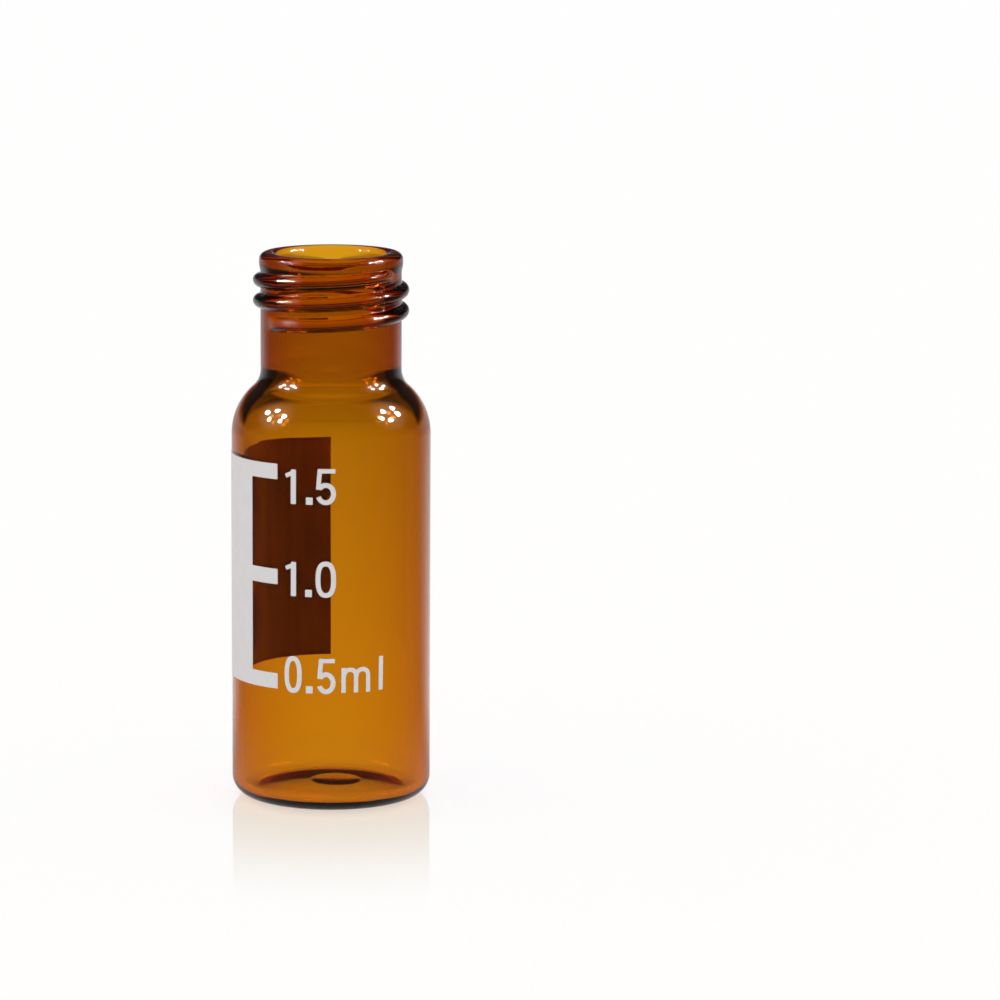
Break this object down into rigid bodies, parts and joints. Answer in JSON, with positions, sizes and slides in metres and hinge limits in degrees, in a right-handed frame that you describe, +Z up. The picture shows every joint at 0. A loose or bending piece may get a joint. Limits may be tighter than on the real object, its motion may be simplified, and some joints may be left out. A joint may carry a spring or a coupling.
{
  "type": "glass sample vial",
  "caption": "Open screw-neck sample vial of amber glass, with a white marking patch and a printed volume scale, for liquid samples in laboratory trays.",
  "frame": {"origin": "middle of the base, on the plane that the foot stands on", "axes": "+Z up along the vial's axis, from the foot to the mouth; the scale's numbers face -Y and the marking patch lies to -X and +Y"},
  "size_m": [0.0116, 0.0116, 0.032],
  "materials": {
    "amber_glass": "clear amber tubing glass, fire-polished",
    "white_print": "white ceramic ink fired on the glass, matte enough to write on"
  },
  "bodies": {
    "root": {"glass_vial": "amber_glass", "printed_scale": "white_print"}
  },
  "joints": []
}
